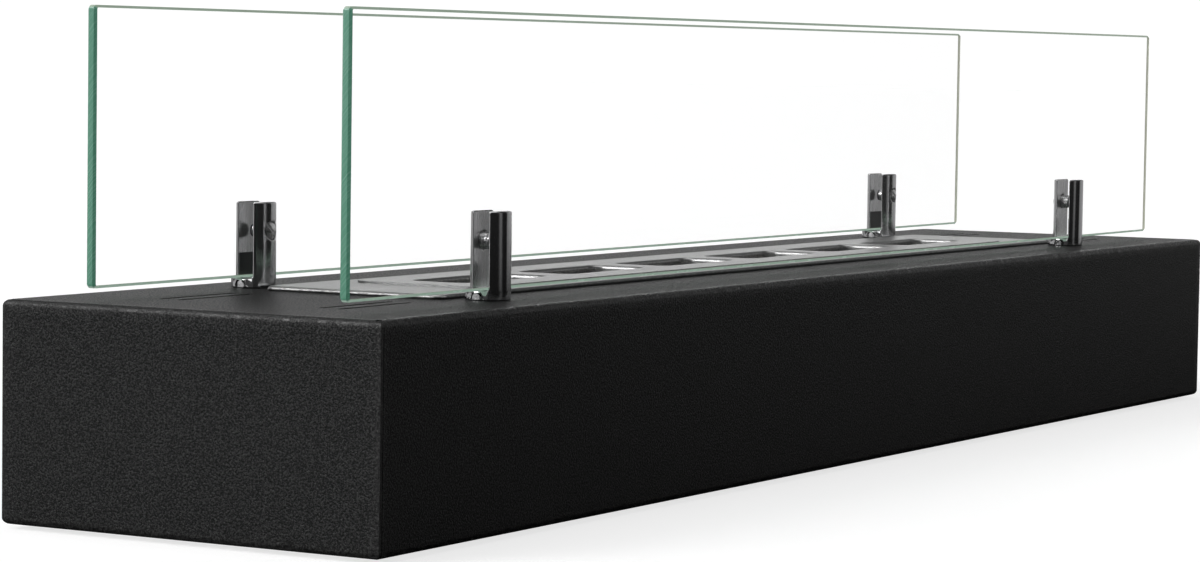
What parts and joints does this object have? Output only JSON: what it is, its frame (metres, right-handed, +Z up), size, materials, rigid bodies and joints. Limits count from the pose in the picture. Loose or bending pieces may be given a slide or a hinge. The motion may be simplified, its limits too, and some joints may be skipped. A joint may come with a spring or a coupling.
{
  "type": "bioethanol fireplace",
  "caption": "Free-standing bioethanol fireplace: long low steel casing, stainless burner with a row of windows, and clear glass panes held upright in slotted chromed clamps.",
  "frame": {"origin": "middle of the footprint, on the surface that the feet stand on", "axes": "+X along the casing to its right end, +Y from the front to the rear, +Z up"},
  "size_m": [0.95, 0.2, 0.232],
  "materials": {
    "powder_black": "fine-textured matt powder coat",
    "galvanised": "dull galvanised sheet",
    "zinc_plated": "satin zinc plate",
    "rubber_black": "matt rubber",
    "stainless": "fine brushed stainless steel",
    "stainless_panel": "fine brushed stainless steel",
    "stainless_tank": "dull mill-finish stainless steel",
    "ceramic_fibre": "matt felted ceramic fibre",
    "chrome_clamp": "polished chrome",
    "clear_liner": "clear soft plastic",
    "steel_screw": "bright nickel plate",
    "soft_tip": "matt nylon",
    "clear_glass": "clear, ground and polished edges"
  },
  "bodies": {
    "housing": {"casing": "powder_black", "base_plate": "galvanised", "fixing_tabs": "zinc_plated", "base_screws": "zinc_plated", "feet": "rubber_black", "clamp_channel_left": "galvanised", "clamp_channel_right": "galvanised", "heat_shield": "galvanised", "shield_rivets": "zinc_plated", "clamp_front_left": "chrome_clamp", "clamp_front_right": "chrome_clamp", "clamp_rear_left": "chrome_clamp", "clamp_rear_right": "chrome_clamp", "clamp_studs": "zinc_plated", "clamp_washers": "zinc_plated", "clamp_nuts": "zinc_plated", "clamp_liners": "clear_liner"},
    "trim": {"trim_plate": "stainless"},
    "burner": {"burner_panel": "stainless_panel", "burner_tank": "stainless_tank", "tank_baffles": "stainless_tank", "fibre_blocks": "ceramic_fibre"},
    "pane_front": {"front_pane": "clear_glass"},
    "pane_rear": {"rear_pane": "clear_glass"},
    "tip_carrier_front_left": {"tip_front_left": "soft_tip"},
    "clamp_screw_front_left": {"screw_front_left": "steel_screw"},
    "tip_carrier_front_right": {"tip_front_right": "soft_tip"},
    "clamp_screw_front_right": {"screw_front_right": "steel_screw"},
    "tip_carrier_rear_left": {"tip_rear_left": "soft_tip"},
    "clamp_screw_rear_left": {"screw_rear_left": "steel_screw"},
    "tip_carrier_rear_right": {"tip_rear_right": "soft_tip"},
    "clamp_screw_rear_right": {"screw_rear_right": "steel_screw"}
  },
  "joints": [
    {"name": "trim_lift", "type": "slide", "parent": "housing", "child": "trim", "axis": [0, 0, 1], "range_m": [0, 0.04]},
    {"name": "burner_lift", "type": "slide", "parent": "trim", "child": "burner", "axis": [0, 0, 1], "range_m": [0, 0.075]},
    {"name": "pane_front_lift", "type": "slide", "parent": "housing", "child": "pane_front", "axis": [0, 0, 1], "range_m": [0, 0.045]},
    {"name": "pane_rear_lift", "type": "slide", "parent": "housing", "child": "pane_rear", "axis": [0, 0, 1], "range_m": [0, 0.045]},
    {"name": "tip_travel_front_left", "type": "slide", "parent": "housing", "child": "tip_carrier_front_left", "axis": [0, 1, 0], "range_m": [0, 0.0025]},
    {"name": "screw_turn_front_left", "type": "hinge", "parent": "tip_carrier_front_left", "child": "clamp_screw_front_left", "pos_m": [-0.335, -0.0589, 0.129], "axis": [0, 1, 0], "range_deg": [0, 720]},
    {"name": "tip_travel_front_right", "type": "slide", "parent": "housing", "child": "tip_carrier_front_right", "axis": [0, 1, 0], "range_m": [0, 0.0025]},
    {"name": "screw_turn_front_right", "type": "hinge", "parent": "tip_carrier_front_right", "child": "clamp_screw_front_right", "pos_m": [0.335, -0.0589, 0.129], "axis": [0, 1, 0], "range_deg": [0, 720]},
    {"name": "tip_travel_rear_left", "type": "slide", "parent": "housing", "child": "tip_carrier_rear_left", "axis": [0, -1, 0], "range_m": [0, 0.0025]},
    {"name": "screw_turn_rear_left", "type": "hinge", "parent": "tip_carrier_rear_left", "child": "clamp_screw_rear_left", "pos_m": [-0.335, 0.0589, 0.129], "axis": [0, -1, 0], "range_deg": [0, 720]},
    {"name": "tip_travel_rear_right", "type": "slide", "parent": "housing", "child": "tip_carrier_rear_right", "axis": [0, -1, 0], "range_m": [0, 0.0025]},
    {"name": "screw_turn_rear_right", "type": "hinge", "parent": "tip_carrier_rear_right", "child": "clamp_screw_rear_right", "pos_m": [0.335, 0.0589, 0.129], "axis": [0, -1, 0], "range_deg": [0, 720]}
  ],
  "couplings": [
    {"joint": "screw_turn_front_left", "follows": "tip_travel_front_left", "rad_per_m": 5026.5},
    {"joint": "screw_turn_front_right", "follows": "tip_travel_front_right", "rad_per_m": 5026.5},
    {"joint": "screw_turn_rear_left", "follows": "tip_travel_rear_left", "rad_per_m": 5026.5},
    {"joint": "screw_turn_rear_right", "follows": "tip_travel_rear_right", "rad_per_m": 5026.5}
  ]
}
